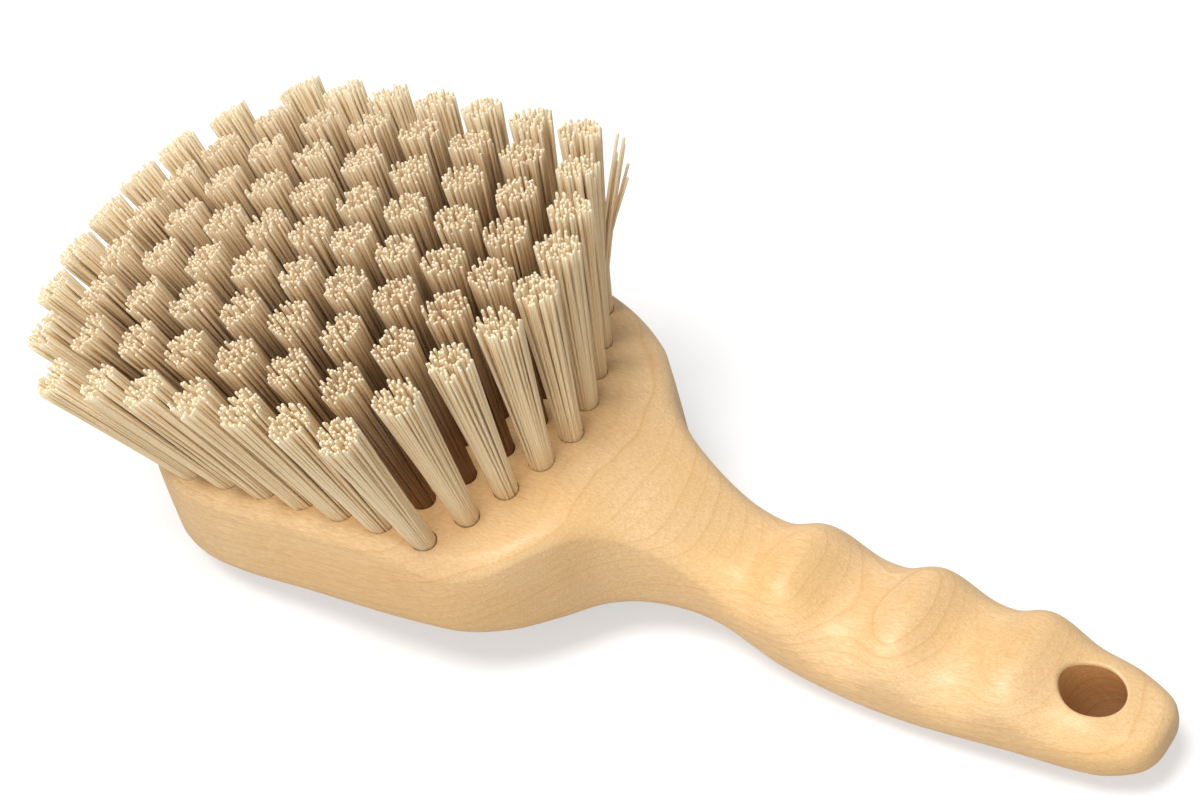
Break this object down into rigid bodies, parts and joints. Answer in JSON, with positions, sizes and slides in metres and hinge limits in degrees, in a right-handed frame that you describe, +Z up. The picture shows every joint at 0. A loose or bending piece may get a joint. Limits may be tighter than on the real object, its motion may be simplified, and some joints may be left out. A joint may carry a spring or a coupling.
{
  "type": "scrub brush",
  "caption": "Wooden scrub brush with a broad rounded head, drilled tufts of stiff pale fibre and a bent grip with finger ridges and a hanging hole.",
  "frame": {"origin": "on the axis of the hanging hole, halfway through the plain thickness of the handle's end", "axes": "+X from the toe of the head to the end of the handle, +Z up as the brush lies on its back with the tufts upwards; XZ is the mirror plane"},
  "size_m": [0.2407, 0.0974, 0.077],
  "materials": {
    "wood": "satin, sanded and lightly oiled",
    "bristle": "matt stiff fibre",
    "anchor": "plain flat wire"
  },
  "bodies": {
    "root": {"block": "wood", "tuft_row_1": "bristle", "tuft_row_2": "bristle", "tuft_row_3": "bristle", "tuft_row_4": "bristle", "tuft_row_5": "bristle", "tuft_row_6": "bristle", "tuft_row_7": "bristle", "tuft_row_8": "bristle", "tuft_row_9": "bristle", "anchor_row_1": "anchor", "anchor_row_2": "anchor", "anchor_row_3": "anchor", "anchor_row_4": "anchor", "anchor_row_5": "anchor", "anchor_row_6": "anchor", "anchor_row_7": "anchor", "anchor_row_8": "anchor", "anchor_row_9": "anchor"}
  },
  "joints": []
}
